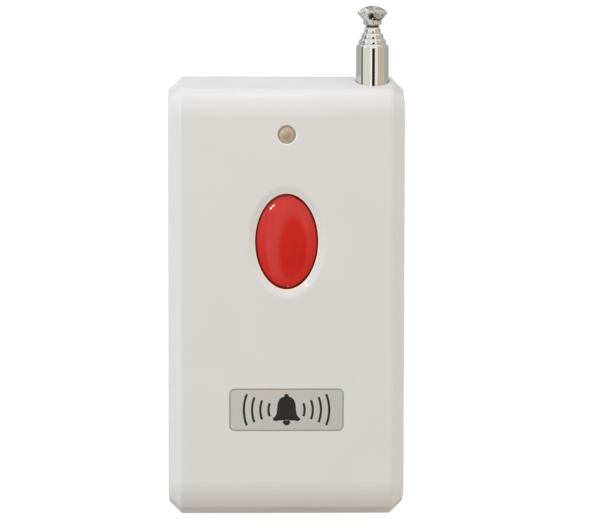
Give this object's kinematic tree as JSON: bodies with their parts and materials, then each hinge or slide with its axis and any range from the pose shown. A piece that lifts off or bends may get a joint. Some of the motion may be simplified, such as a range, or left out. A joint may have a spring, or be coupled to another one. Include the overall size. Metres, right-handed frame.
{
  "type": "wireless panic button",
  "caption": "Hand-held radio panic button: flat pale case with an oval push button, a small lamp, a metal plate and a telescopic antenna.",
  "frame": {"origin": "centre of the flat back face, which lies on the surface", "axes": "+X to the right, +Y towards the antenna end, +Z out of the face with the button"},
  "size_m": [0.0432, 0.094, 0.0162],
  "materials": {
    "case_plastic": "semi-gloss moulded",
    "button_plastic": "glossy",
    "plate_metal": "brushed",
    "lamp_lens": "clear to milky",
    "lead_metal": "tinned",
    "board_laminate": "solder mask",
    "switch_plastic": "moulded",
    "switch_metal": "plain",
    "chip_plastic": "moulded",
    "can_metal": "plated",
    "coil_copper": "enamelled copper",
    "capacitor_can": "plain",
    "capacitor_ceramic": "ceramic",
    "resistor_ceramic": "ceramic",
    "battery_jacket": "printed sleeve, left bare",
    "contact_metal": "nickel plated",
    "antenna_chrome": "chrome plated",
    "sleeve_brass": "plain",
    "screw_steel": "zinc plated"
  },
  "bodies": {
    "case": {"front_shell": "case_plastic", "back_shell": "case_plastic", "label_plate": "plate_metal", "led_lamp": "lamp_lens", "led_leads": "lead_metal", "circuit_board": "board_laminate", "switch_base": "switch_plastic", "switch_frame": "switch_metal", "switch_dome": "switch_metal", "encoder_chip": "chip_plastic", "radio_transistor": "chip_plastic", "resonator_can": "can_metal", "antenna_coil": "coil_copper", "supply_capacitor": "capacitor_can", "chip_capacitors": "capacitor_ceramic", "chip_resistors": "resistor_ceramic", "battery": "battery_jacket", "positive_contact": "contact_metal", "negative_contact": "contact_metal", "battery_spring": "contact_metal", "antenna_tube_1": "antenna_chrome", "antenna_plug": "sleeve_brass", "antenna_bracket": "sleeve_brass", "case_screws": "screw_steel", "antenna_screw": "screw_steel"},
    "button": {"button_cap": "button_plastic", "switch_plunger": "switch_plastic"},
    "cover": {"battery_cover": "case_plastic"},
    "section_2": {"antenna_tube_2": "antenna_chrome", "antenna_sleeve_2": "sleeve_brass"},
    "section_3": {"antenna_tube_3": "antenna_chrome", "antenna_sleeve_3": "sleeve_brass"},
    "section_4": {"antenna_tube_4": "antenna_chrome", "antenna_sleeve_4": "sleeve_brass"},
    "tip": {"antenna_rod": "antenna_chrome", "antenna_knob": "antenna_chrome", "antenna_sleeve_5": "sleeve_brass"}
  },
  "joints": [
    {"name": "button_press", "type": "slide", "parent": "case", "child": "button", "axis": [0, 0, -1], "range_m": [0, 0.0003], "stiffness_N_per_m": 4000, "springref_m": -0.0001, "deforming": ["switch_dome"]},
    {"name": "cover_slide", "type": "slide", "parent": "case", "child": "cover", "axis": [0, -1, 0], "range_m": [0, 0.016]},
    {"name": "antenna_slide_2", "type": "slide", "parent": "case", "child": "section_2", "axis": [0, 1, 0], "range_m": [0, 0.042]},
    {"name": "antenna_slide_3", "type": "slide", "parent": "section_2", "child": "section_3", "axis": [0, 1, 0], "range_m": [0, 0.043]},
    {"name": "antenna_slide_4", "type": "slide", "parent": "section_3", "child": "section_4", "axis": [0, 1, 0], "range_m": [0, 0.044]},
    {"name": "antenna_slide_5", "type": "slide", "parent": "section_4", "child": "tip", "axis": [0, 1, 0], "range_m": [0, 0.045]}
  ]
}
